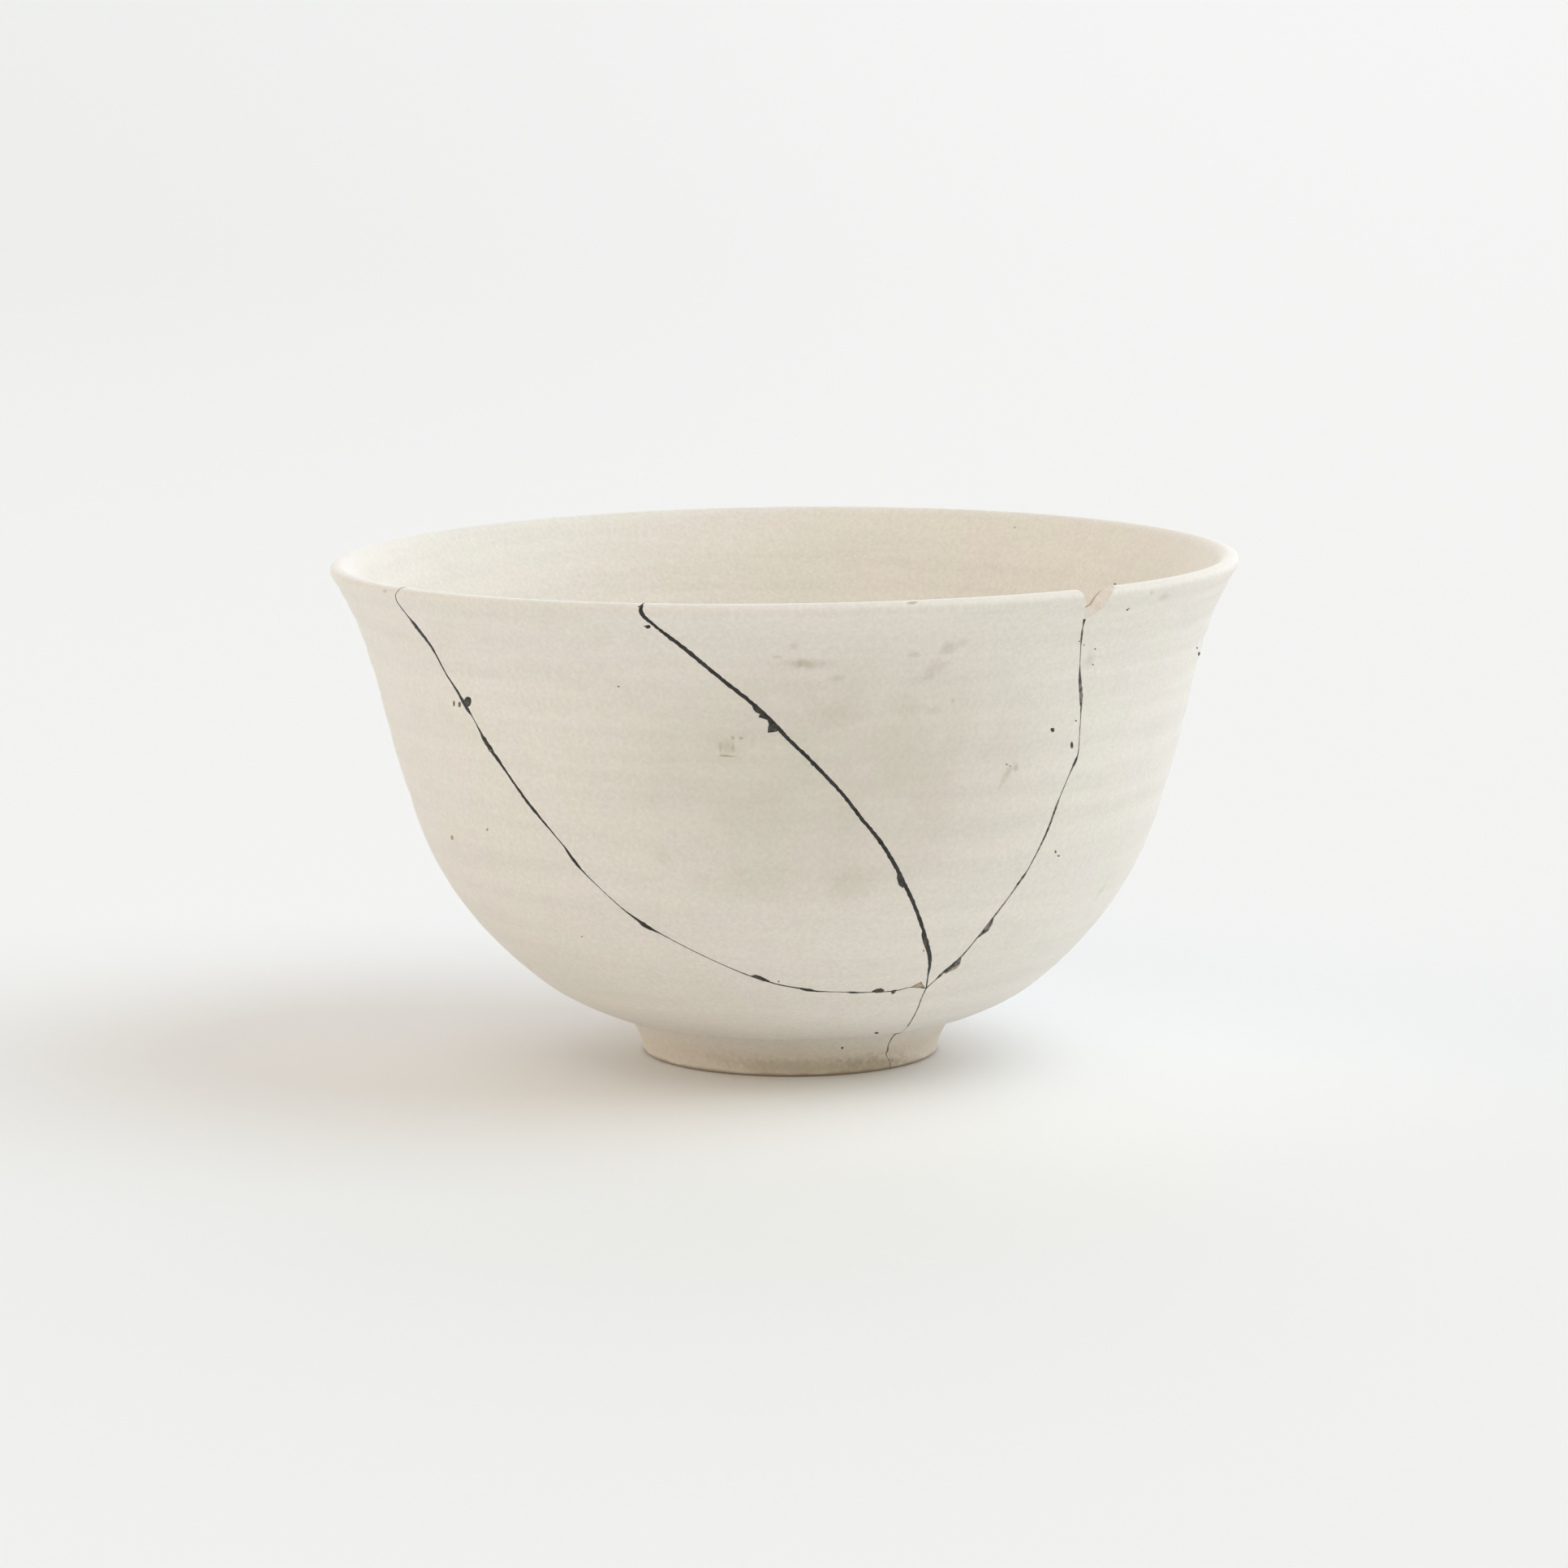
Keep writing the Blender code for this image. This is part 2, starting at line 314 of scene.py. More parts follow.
BROWN_SPOTS = (
    (559.3, 866.7, 1.2, 3.8),
    (566.2, 868.3, 1.8, 3.6),
    (604.2, 924.6, 2.2, 1.8),
    (762, 846, 1.4, 1.0),
    (1300.6, 1049.6, 1.2, 1.8),
    (1304.6, 1054.6, 1.6, 1.2),
    (1099.5, 1306.3, 0.8, 0.8),
    (1138, 1171.4, 0.9, 1.1),
    (717, 1154, 1.0, 0.7),
)

# The chip that is missing from the rim: its edge on the outside in pixels, from the left corner down
# and up again along the broken face, and how much higher the edge is on the inside
NOTCH_EDGE = (
    (1330.6, 728.4, 0),
    (1333.0, 729.8, 0),
    (1335.2, 732.4, 0),
    (1336.9, 737, 0),
    (1337.7, 744, 0),
    (1336.8, 753, 0.0002),
    (1336.2, 764, 0.0006),
    (1341, 761.5, 0.0006),
    (1350, 755.5, 0.0006),
    (1359.4, 748.4, 0.0003),
    (1366, 738, 0),
    (1371, 728.5, -0.0003),
    (1374, 723.5, 0),
)
NOTCH_MIDDLE = (1343, 748)
NOTCH_REACH = 0.3
NOTCH_SPLIT = 3
NOTCH_ACROSS = 14
NOTCH_ROUGHNESS = 0.00006
NOTCH_GRAIN = 0.0007

# Breaks and filler in depth
BREAK_GAP = 0.00006
BLADE_REACH = 0.0080
BLADE_AIM = Vector((0, 0, 0.0517))
BLADE_STEP = 0.0010
BLADE_OVERRUN = 0.0003
ABOVE_RIM = 0.0050
BEAD_STEP_PIXELS = 1.5
BEAD_STEP = 0.0002
BEAD_SPREAD = 1.12
PHOTO_BLUR = 0.35
BEAD_RISE = 0.00003
BEAD_DEPTH = 0.00018
BEAD_SHOULDER = 0.6
INNER_WIDTH = 0.00022
RAGGED_SHARE = 0.35
RAGGED_SIZE = 0.0006
SPOT_RISE = 0.00004
SPOT_STEPS = 20
TO_INSIDE = 0.0005
SIZE_SLACK = 0.0020

# The bare porcelain: its two hues, a darker and warmer tint on the foot, and the sizes and strengths of what
# varies on it
PINKISH_WHITE = (0.860, 0.812, 0.751, 1)
GREENISH_WHITE = (0.847, 0.815, 0.738, 1)
FOOT_TINT = (0.99, 0.94, 0.88, 1)
# Brown soil along the foot's bottom edge, partly painted contact shade where it meets the floor
FOOT_SOIL_AND_SHADE = (0.34, 0.26, 0.18, 1)
FOOT_SOIL_AND_SHADE_HEIGHT = 0.0009
FOOT_SOIL_AND_SHADE_STRENGTH = 0.8
CLOUD_GREY = (0.66, 0.62, 0.56, 1)
# Brown for smudges and dirt, also used for the painted shade over the front and along the foot
SMUDGE_AND_SHADE_BROWN = (0.40, 0.36, 0.235, 1)
PORE_BROWN = (0.36, 0.28, 0.20, 1)
HUE_SIZE = 0.010
GRAIN_SIZE = 0.0007
GRAIN_TONE = 0.11
GRAIN_DEPTH = 0.00006
STREAK_SIZE = 0.034
STREAK_FLATNESS = 13
STREAK_TONE = 0.030
BAND_SIZE = 0.0042
CLOUD_SIZE = 0.0055
SMUDGE_AND_SHADE_GRAIN = 0.0010
SMUDGE_AND_SHADE_DEPTH = 0.0015
PORE_SPACING = 0.0045
PORE_RADIUS = 0.00016
PORCELAIN_ROUGHNESS = 0.55
PORCELAIN_SHEEN = 0.15
EDGE_DIRT = 0.00012
FRACTURE_PINK = (0.83, 0.755, 0.70, 1)
FRACTURE_WHITE = (0.86, 0.805, 0.745, 1)

# Soiled places, two of them painted shade along the foot's bottom: pixel x, pixel y, half width and half height
# in pixels, turn in degrees and strength
SMUDGES_AND_SHADE = (
    (995, 818, 32, 8, -2, 0.22),
    (992, 817.5, 15, 6, -3, 0.34),
    (977.5, 796.5, 8, 6, 0, 0.22),
    (957, 809.5, 6, 2.6, 0, 0.25),
    (1032, 835.5, 9, 5, 0, 0.26),
    (896, 920, 12, 13, 0, 0.26),
    (895.5, 931.4, 12, 1.6, -2, 0.85),
    (902.4, 908.7, 3.4, 3, 0, 0.75),
    (913.3, 909.6, 3, 2.2, 0, 0.60),
    (1168, 799, 13, 11, 20, 0.30),
    (1186, 792, 10, 8, 20, 0.16),
    (1154, 822, 17, 11, 12, 0.20),
    (1126, 806.6, 9, 6, 0, 0.24),
    (1141, 835, 16, 7, 4, 0.18),
    (1151, 874.5, 9, 6, 0, 0.20),
    (1174, 863, 4, 4, 0, 0.34),
    (1241, 955, 6, 18, -32, 0.36),
    (1252, 946, 5, 5, 0, 0.50),
    (1241, 942, 2.4, 2.2, 0, 0.75),
    (1435, 735, 15, 7, -14, 0.26),
    (1419, 730, 5, 4, -40, 0.30),
    (1497, 690, 5, 10, -15, 0.34),
    (1343, 812, 9, 13, 10, 0.22),
    (1358, 1095, 7, 18, -20, 0.20),
    (653, 1192, 26, 5, 38, 0.22),
    (1124, 742.6, 8, 3.0, 10, 0.70),
    (474, 728.5, 9, 2.6, 5, 0.40),
    (887.5, 922, 1.6, 9, 0, 0.35),
    (903, 920, 1.8, 10, 0, 0.35),
    (817, 1056, 14, 13, 0, 0.12),
    # Painted contact shadow with some brown soil along the foot's bottom, thickest at the front right
    (1000, 1316, 170, 15, 0, 0.40),
    (1085, 1312, 80, 10, -4, 0.50),
    (1050, 1090, 40, 30, 25, 0.13),
    (1030, 880, 40, 22, 0, 0.13),
    (690, 825, 100, 12, 1, 0.08),
    (930, 1085, 70, 34, 0, 0.08),
    (1120, 868, 30, 18, 0, 0.12),
)
# The middle of the front is greyer all over: painted shade where less light comes from the camera's side, given
# as pixel centre, half width, half height and strength
FRONT_PAINTED_SHADE = (1030, 960, 320, 190, 0.23)
ORANGE_FLECKS = ((557, 1032, 1.6, 3.0), (600.5, 1022, 1.4, 1.8))
PALE_FLECKS = ((922, 1227.6, 3.2, 1.6),)

# The room's soft lights: azimuth, elevation, strength and tint, cool from behind and warm elsewhere
WARM_LIGHT = Vector((1.07, 0.98, 0.86))
COOL_LIGHT = Vector((0.95, 0.98, 1.04))
WHITE_LIGHT = Vector((1.0, 0.98, 1.0))
ROOM_LIGHTS = (
    (90, 8, 0.8, WARM_LIGHT),
    (135, 8, 0.9, WHITE_LIGHT),
    (180, 8, 1.9, COOL_LIGHT),
    (270, 8, 1.6, WARM_LIGHT),
    (0, 48, 1.2, WARM_LIGHT),
)
ROOM_LIGHT_POWER = 4
KEY_AZIMUTH = 90
KEY_ELEVATION = 50
KEY_ANGLE = 50
KEY_STRENGTH = 1.25
KEY_COLOUR = (0.72, 0.88, 1.0)
# The floor's white, and the greyer colour of its painted shade far behind on the left, where the light falls off
FLOOR_NEAR = (0.872, 0.872, 0.868, 1)
FLOOR_FAR_PAINTED_SHADE = (0.815, 0.818, 0.812, 1)
FLOOR_ROUGHNESS = 0.9


def photo_ray(x, y):
    """The direction in which the camera sees a pixel."""
    pitch = radians(CAMERA_PITCH)
    forward = Vector((0, cos(pitch), -sin(pitch)))
    upward = Vector((0, sin(pitch), cos(pitch)))
    across = (x - PHOTO_MIDDLE) / FOCAL_PIXELS
    down = (y - PHOTO_MIDDLE) / FOCAL_PIXELS
    return (forward + Vector((across, 0, 0)) - upward * down).normalized()


def smooth_curve(points, steps):
    """A Catmull-Rom curve through the points, with this many steps between two of them."""
    knots = [Vector(point) for point in points]
    before = 2 * knots[0] - knots[1]
    after = 2 * knots[-1] - knots[-2]
    knots = [before, *knots, after]
    curve = []
    for a, b, c, d in zip(knots, knots[1:], knots[2:], knots[3:]):
        for step in range(steps):
            t = step / steps
            bend = (2 * a - 5 * b + 4 * c - d) * t**2 + (3 * b - a - 3 * c + d) * t**3
            curve.append(0.5 * (2 * b + (c - a) * t + bend))
    curve.append(knots[-2])
    return curve


def smooth_step(share):
    share = min(max(share, 0), 1)
    return share**2 * (3 - 2 * share)


def around(radius, azimuth, height):
    turn = radians(azimuth)
    return Vector((radius * sin(turn), -radius * cos(turn), height))


def outer_wall():
    """Radius and height up the outside, from the foot's crease to the lip's outer corner."""
    width = RIM_RADIUS - LIP_BULGE - CREASE_RADIUS
    rise = LIP_HEIGHT - FOOT_HEIGHT
    corners = [(CREASE_RADIUS + out * width, FOOT_HEIGHT + up * rise) for out, up in WALL_SHAPE]
    return smooth_curve(corners, WALL_STEPS)


def inner_wall(outside):
    """The inside, from the floor's edge to the lip: the outside moved in by the wall."""
    inside = []
    last = len(outside) - 1
    for index in range(0, last, INNER_SHARE):
        ahead = outside[index + 1] - outside[max(index - 1, 0)]
        inward = Vector((-ahead.y, ahead.x)).normalized()
        wall = BASE_WALL + (RIM_WALL - BASE_WALL) * index / last
        inside.append(outside[index] + inward * wall)
    return [point for point in inside if point.y < LIP_HEIGHT]


def floor_dish(edge):
    """The inner floor, from the axis to the point where the wall begins."""
    dish = []
    for step in range(FLOOR_STEPS):
        share = step / FLOOR_STEPS
        drop = FLOOR_DISH * (1 - share**FLOOR_DISH_POWER)
        dish.append(Vector((edge.x * share, edge.y - drop)))
    return dish


def lip_point(turn):
    """The lip's rounding, two half ellipses that lean with the wall: 0 is its outer end, pi its inner end."""
    lean = LIP_LEAN * LIP_RISE
    outer_end = RIM_RADIUS - LIP_BULGE
    inner_end = outer_end - LEVEL_WALL
    half = outer_end - LIP_CREST + lean if cos(turn) > 0 else LIP_CREST - inner_end - lean
    out = LIP_CREST + half * cos(turn) - lean * (1 - sin(turn))
    return Vector((out, LIP_HEIGHT + LIP_RISE * sin(turn)))


def foot_outline():
    """Down the foot's hollow side, over its ring and up under the floor to the axis."""
    outline = []
    for step in range(1, FOOT_STEPS + 1):
        height = FOOT_HEIGHT + (FOOT_EDGE - FOOT_HEIGHT) * step / FOOT_STEPS
        flare = FOOT_FLARE * (height / FOOT_HEIGHT) ** FOOT_FLARE_POWER
        outline.append(Vector((FOOT_RADIUS + flare, height)))
    ring_inside = FOOT_RADIUS - FOOT_RING_WIDTH
    outline.append(Vector((FOOT_RADIUS - FOOT_EDGE, 0)))
    outline.append(Vector((ring_inside + FOOT_EDGE, 0)))
    outline.append(Vector((ring_inside, FOOT_EDGE)))
    corner = ring_inside - RECESS_DRAFT - RECESS_FILLET
    for step in range(FILLET_STEPS + 1):
        turn = 0.5 * pi * step / FILLET_STEPS
        out = corner + RECESS_FILLET * cos(turn)
        up = FOOT_RECESS - RECESS_FILLET + RECESS_FILLET * sin(turn)
        outline.append(Vector((out, up)))
    for step in range(1, RECESS_STEPS + 1):
        outline.append(Vector((corner * (1 - step / RECESS_STEPS), FOOT_RECESS)))
    return outline


def bowl_profile():
    outside = outer_wall()
    inside = inner_wall(outside)
    lip = [lip_point(pi - pi * step / LIP_STEPS) for step in range(LIP_STEPS)]
    return floor_dish(inside[0]) + inside + lip + outside[::-1] + foot_outline()


def settle(point):
    """Moves a point of the true bowl to where it is on the drifted, tilted and bent one."""
    share = point.z / BOWL_HEIGHT
    ramp = smooth_step((share - TILT_START_SHARE) / (TILT_FULL_SHARE - TILT_START_SHARE))
    distance = max(point.x**2 + point.y**2, MERGE_DISTANCE**2)
    saddle = RIM_SADDLE * (point.y**2 - point.x**2) / distance
    rim_drift = DRIFT_PER_HEIGHT * (LIP_HEIGHT - FOOT_HEIGHT)
    drift = DRIFT_PER_HEIGHT * max(point.z - FOOT_HEIGHT, 0)
    lift = ramp * (RIM_TILT * point.x + saddle)
    return Vector((point.x - drift + rim_drift, point.y, point.z + lift))


def throwing_marks(point, normal):
    """How far hands and kiln left the surface under the true form."""
    turns = atan2(point.x, -point.y) / tau
    wander = noise.noise(point / (2 * UNDULATION_SIZE))
    ring = 0.5 + 0.5 * sin(tau * (point.z / RING_PITCH + turns + wander))
    strength = 0.5 + 0.5 * noise.noise(point / UNDULATION_SIZE + Vector((7, 3, 5)))
    hollow = 0.5 + 0.5 * noise.noise(point / UNDULATION_SIZE)
    depth = RING_DEPTH * ring * strength + UNDULATION_DEPTH * hollow
    if normal.x * point.x + normal.y * point.y > 0:
        for height, groove, half_width in SINGLE_RINGS:
            depth += groove * exp(-(((point.z - height) / half_width) ** 2))
    on_lip = LIP_MARKS + (1 - LIP_MARKS) * smooth_step((BOWL_HEIGHT - point.z) / LIP_RISE)
    return depth * on_lip * smooth_step((point.z - FLAT_BELOW) / FLAT_BELOW)


def new_piece(name, mesh, collection):
    piece = bpy.data.objects.new(name, mesh)
    collection.objects.link(piece)
    return piece


def new_collection(name):
    collection = bpy.data.collections.new(name)
    bpy.context.scene.collection.children.link(collection)
    return collection


def apply_modifiers(piece):
    graph = bpy.context.evaluated_depsgraph_get()
    mesh = bpy.data.meshes.new_from_object(piece.evaluated_get(graph))
    piece.modifiers.clear()
    piece.data = mesh


def thrown_bowl(collection):
    """The whole bowl before it broke, turned from its profile, marked and settled."""
    points = [(point.x, 0, point.y) for point in bowl_profile()]
    edges = [(index, index + 1) for index in range(len(points) - 1)]
    mesh = bpy.data.meshes.new("thrown_bowl")
    mesh.from_pydata(points, edges, [])
    bowl = new_piece("thrown_bowl", mesh, collection)
    screw = bowl.modifiers.new("Turn", "SCREW")
    screw.steps = TURN_STEPS
    screw.render_steps = TURN_STEPS
    screw.use_merge_vertices = True
    screw.merge_threshold = MERGE_DISTANCE
    apply_modifiers(bowl)
    normals = [vertex.normal.copy() for vertex in bowl.data.vertices]
    for vertex, normal in zip(bowl.data.vertices, normals):
        vertex.co = settle(vertex.co - normal * throwing_marks(vertex.co, normal))
    return bowl


def seen_at(tree, x, y):
    """The place on the bowl seen at a pixel, or nearest to one just beside it, and the normal there."""
    ray = photo_ray(x, y)
    place, normal, _, _ = tree.ray_cast(CAMERA_PLACE, ray)
    if place is None:
        beside = CAMERA_PLACE - ray * (CAMERA_PLACE.y / ray.y)
        place, normal, _, _ = tree.find_nearest(beside)
    return place, normal


def pixel_samples(route):
    """Places along a route of (x, y, width), BEAD_STEP_PIXELS apart, each with the way across it."""
    fine = smooth_curve(route, 8)
    samples = []
    left_over = 0.0
    for a, b in zip(fine, fine[1:]):
        step = Vector((b.x - a.x, b.y - a.y))
        length = step.length
        across = Vector((step.y, -step.x)).normalized()
        while left_over < length:
            place = a.lerp(b, left_over / length)
            samples.append((place, across))
            left_over += BEAD_STEP_PIXELS
        left_over -= length
    samples.append((fine[-1], across))
    return samples


def ragged(place, offset):
    """How the filler's edge wanders: a factor near 1."""
    return 1 + RAGGED_SHARE * noise.noise(place / RAGGED_SIZE + Vector((offset, 0, 0)))


def outside_sections(tree, route):
    """The line of a break over the outside: left edge, middle, right edge and normal at each place."""
    sections = []
    for sample, across in pixel_samples(route):
        middle, normal = seen_at(tree, sample.x, sample.y)
        edges = []
        for side, offset in ((-1, 0), (1, 9)):
            width = BEAD_SPREAD * sample.z - PHOTO_BLUR
            reach = across * side * 0.5 * width * ragged(middle, offset)
            edge, _ = seen_at(tree, sample.x + reach.x, sample.y + reach.y)
            # Where the surface is seen edge on, the line keeps the width that it has from the front
            if (edge - middle).length > 4 * reach.length / FOCAL_PIXELS:
                outward = (edge - middle).normalized() * mark_size(reach.length)
                edge, _, _, _ = tree.find_nearest(middle + outward)
            edges.append(edge)
        sections.append((edges[0], middle, edges[1], normal))
    return sections


def plain_sections(tree, line, width):
    """The line of a break where the photograph doesn't show it, along places on the surface."""
    sections = []
    for index, place in enumerate(line):
        middle, normal, _, _ = tree.find_nearest(place)
        ahead = line[min(index + 1, len(line) - 1)] - line[max(index - 1, 0)]
        side = ahead.cross(normal).normalized()
        left = middle - side * 0.5 * width * ragged(middle, 0)
        right = middle + side * 0.5 * width * ragged(middle, 9)
        sections.append((left, middle, right, normal))
    return sections


def through_wall(tree, place):
    """Where the break through a place on the outside comes out on the inside."""
    inward = (BLADE_AIM - place).normalized()
    found, _, _, _ = tree.ray_cast(place + inward * TO_INSIDE, inward)
    return found


def over_the_lip(start):
    """Places over the lip, from its inner end to the start of the break's line on its outside."""
    steps = 3 * LIP_STEPS
    azimuth = atan2(start.x, -start.y) * 360 / tau
    lip = [lip_point(pi - pi * step / steps) for step in range(steps + 1)]
    places = [settle(around(point.x, azimuth, point.y)) for point in lip]
    nearest = min(range(len(places)), key=lambda index: (places[index] - start).length)
    return [*places[:nearest], start]


def evenly(line, spacing):
    """The same line with its places this far apart."""
    places = [line[0]]
    for place in line[1:]:
        while (place - places[-1]).length > 1.5 * spacing:
            places.append(places[-1] + (place - places[-1]).normalized() * spacing)
        if (place - places[-1]).length > 0.5 * spacing:
            places.append(place)
    return places


def bead_mesh(name, runs, material, collection):
    """Closed beads of filler along runs of sections, joined as one piece."""
    bead = bmesh.new()
    for sections in runs:
        rings = []
        for left, middle, right, normal in sections:
            rise = normal * BEAD_RISE
            sink = normal * BEAD_DEPTH
            outline = (
                left,
                middle.lerp(left, BEAD_SHOULDER) + rise,
                middle.lerp(right, BEAD_SHOULDER) + rise,
                right,
                middle.lerp(right, BEAD_SHOULDER) - sink,
                middle.lerp(left, BEAD_SHOULDER) - sink,
            )
            rings.append([bead.verts.new(place) for place in outline])
        for ring, following in zip(rings, rings[1:]):
            for index in range(len(ring)):
                after = (index + 1) % len(ring)
                bead.faces.new((ring[index], ring[after], following[after], following[index]))
        bead.faces.new(rings[0][::-1])
        bead.faces.new(rings[-1])
    bmesh.ops.recalc_face_normals(bead, faces=bead.faces)
    return finished_piece(name, bead, material, collection)


def finished_piece(name, form, material, collection):
    mesh = bpy.data.meshes.new(name)
    form.to_mesh(mesh)
    form.free()
    mesh.shade_smooth()
    mesh.materials.append(material)
    return new_piece(name, mesh, collection)


def above_surface(tree, place, rise):
    """The place on the bowl nearest to this one, raised along the normal there."""
    found, normal, _, _ = tree.find_nearest(place)
    return found + normal * rise


def spot_mesh(name, tree, outlines, material, collection):
    """Low closed blobs over outlines given in pixels, joined as one piece."""
    blob = bmesh.new()
    for outline in outlines:
        seen = [seen_at(tree, x, y)[0] for x, y in outline]
        middle = sum(seen, Vector()) / len(seen)
        top = blob.verts.new(above_surface(tree, middle, SPOT_RISE))
        under = blob.verts.new(above_surface(tree, middle, -BEAD_DEPTH))
        edge = [blob.verts.new(place) for place in seen]
        inner = [middle.lerp(place, BEAD_SHOULDER) for place in seen]
        shoulder = [blob.verts.new(above_surface(tree, place, SPOT_RISE)) for place in inner]
        for index in range(len(edge)):
            after = (index + 1) % len(edge)
            blob.faces.new((edge[index], edge[after], shoulder[after], shoulder[index]))
            blob.faces.new((shoulder[index], shoulder[after], top))
            blob.faces.new((edge[after], edge[index], under))
    bmesh.ops.recalc_face_normals(blob, faces=blob.faces)
    return finished_piece(name, blob, material, collection)


def ellipse(x, y, half_width, half_height):
    """An uneven round outline in pixels."""
    outline = []
    for step in range(SPOT_STEPS):
        turn = tau * step / SPOT_STEPS
        place = Vector((cos(turn), sin(turn), 0.1 * x))
        size = 1 + 0.5 * RAGGED_SHARE * noise.noise(place)
        outline.append((x + half_width * size * cos(turn), y + half_height * size * sin(turn)))
    return outline


def roughened(outline):
    """A polygon in pixels with its sides split and made uneven."""
    fine = []
    for (x, y), (next_x, next_y) in zip(outline, outline[1:] + outline[:1]):
        for share in (0, 0.25, 0.5, 0.75):
            place = Vector((x + (next_x - x) * share, y + (next_y - y) * share, 0))
            jolt = noise.noise_vector(place * 0.9)
            fine.append((place.x + 0.5 * jolt.x, place.y + 0.5 * jolt.y))
    return fine


def blade(name, line, material, collection):
    """A thin ribbon through the wall along a line on the outside, to cut the break with."""
    places = evenly(line, BLADE_STEP)
    first = places[0] + Vector((0, 0, ABOVE_RIM))
    last = places[-1] + (places[-1] - places[-2]).normalized() * BLADE_OVERRUN
    ribbon = bmesh.new()
    rungs = []
    for place in [first, *places, last]:
        reach = (place - BLADE_AIM).normalized() * BLADE_REACH
        rungs.append((ribbon.verts.new(place - reach), ribbon.verts.new(place + reach)))
    for (inner, outer), (next_inner, next_outer) in zip(rungs, rungs[1:]):
        ribbon.faces.new((inner, outer, next_outer, next_inner))
    cutter = finished_piece(name, ribbon, material, collection)
    solidify = cutter.modifiers.new("Gap", "SOLIDIFY")
    solidify.thickness = BREAK_GAP
    solidify.offset = 0
    solidify.use_even_offset = True
    apply_modifiers(cutter)
    return cutter


def notch_rows(tree):
    """The notch's edge as pairs of places on the outside and on the inside of the wall."""
    rows = []
    for x, y, rise in NOTCH_EDGE:
        outer, _ = seen_at(tree, x, y)
        inward = Vector((-outer.x, -outer.y, 0)).normalized()
        rows.append((outer, outer + inward * LEVEL_WALL + Vector((0, 0, rise))))
    above = Vector((0, 0, ABOVE_RIM))
    first = [place + above for place in rows[0]]
    last = [place + above for place in rows[-1]]
    return [first, *rows, last]


def notch_cutter(tree, material, collection):
    """The rim's missing chip, as a rough loft from beyond the outside to beyond the inside."""
    rows = notch_rows(tree)
    fine = []
    for row, following in zip(rows, rows[1:]):
        for step in range(NOTCH_SPLIT):
            fine.append([a.lerp(b, step / NOTCH_SPLIT) for a, b in zip(row, following)])
    fine.append(rows[-1])
    wedge = bmesh.new()
    grid = []
    for outer, inner in fine:
        line = []
        for step in range(NOTCH_ACROSS + 1):
            place = outer.lerp(inner, -NOTCH_REACH + (1 + 2 * NOTCH_REACH) * step / NOTCH_ACROSS)
            if 0 < step < NOTCH_ACROSS:
                place += noise.noise_vector(place / NOTCH_GRAIN) * NOTCH_ROUGHNESS
            line.append(wedge.verts.new(place))
        grid.append(line)
    for line, following in zip(grid, grid[1:] + grid[:1]):
        for step in range(NOTCH_ACROSS):
            wedge.faces.new((line[step], line[step + 1], following[step + 1], following[step]))
    last = len(grid) - 1
    for end in (0, NOTCH_ACROSS):
        for row in range(last // 2):
            rung = (grid[row][end], grid[row + 1][end], grid[last - row - 1][end], grid[last - row][end])
            wedge.faces.new(dict.fromkeys(rung))
    bmesh.ops.recalc_face_normals(wedge, faces=wedge.faces)
    return finished_piece("rim_notch", wedge, material, collection)


def cut(piece, cutter):
    boolean = piece.modifiers.new(cutter.name, "BOOLEAN")
    boolean.operation = "DIFFERENCE"
    boolean.material_mode = "TRANSFER"
    boolean.object = cutter


def loose_parts(piece):
    """Splits a piece into its separate bodies, largest first."""
    bpy.ops.object.select_all(action="DESELECT")
    bpy.context.view_layer.objects.active = piece
    piece.select_set(True)
    bpy.ops.object.mode_set(mode="EDIT")
    bpy.ops.mesh.select_all(action="SELECT")
    bpy.ops.mesh.separate(type="LOOSE")
    bpy.ops.object.mode_set(mode="OBJECT")
    parts = list(bpy.context.selected_objects)
    return sorted(parts, key=lambda part: len(part.data.vertices), reverse=True)


def check_size(part, node):
    """Stops the script if a cut surface isn't as large as the solid that it covers."""
    node_low, node_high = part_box(node)
    places = [vertex.co for vertex in part.data.vertices]
    for axis in range(3):
        size = max(place[axis] for place in places) - min(place[axis] for place in places)
        if abs(size - (node_high[axis] - node_low[axis])) > SIZE_SLACK:
            raise RuntimeError(f"the surface of {node} is {size:.4f} m along axis {axis}")


def middle_x(piece):
    return sum(vertex.co.x for vertex in piece.data.vertices) / len(piece.data.vertices)


def blank_material(name, roughness):
    """A material with its node tree, its Principled shader and the place on the piece in metres."""
    material = bpy.data.materials.new(name)
    material.use_nodes = True
    tree = material.node_tree
    shader = tree.nodes["Principled BSDF"]
    shader.inputs["Roughness"].default_value = roughness
    place = tree.nodes.new("ShaderNodeTexCoord").outputs["Object"]
    return material, tree, shader, place


def feed(tree, source, socket):
    """Links another node's output to a socket, or sets the socket to a number, vector or colour."""
    if isinstance(source, bpy.types.NodeSocket):
        tree.links.new(source, socket)
    else:
        socket.default_value = source


def compute(tree, operation, first, second=0.0):
    node = tree.nodes.new("ShaderNodeMath")
    node.operation = operation
    feed(tree, first, node.inputs[0])
    feed(tree, second, node.inputs[1])
    return node.outputs[0]


def vector_math(tree, operation, first, second=(0, 0, 0)):
    node = tree.nodes.new("ShaderNodeVectorMath")
    node.operation = operation
    feed(tree, first, node.inputs[0])
    feed(tree, second, node.inputs[1])
    return node.outputs["Value" if operation in ("LENGTH", "DOT_PRODUCT", "DISTANCE") else "Vector"]


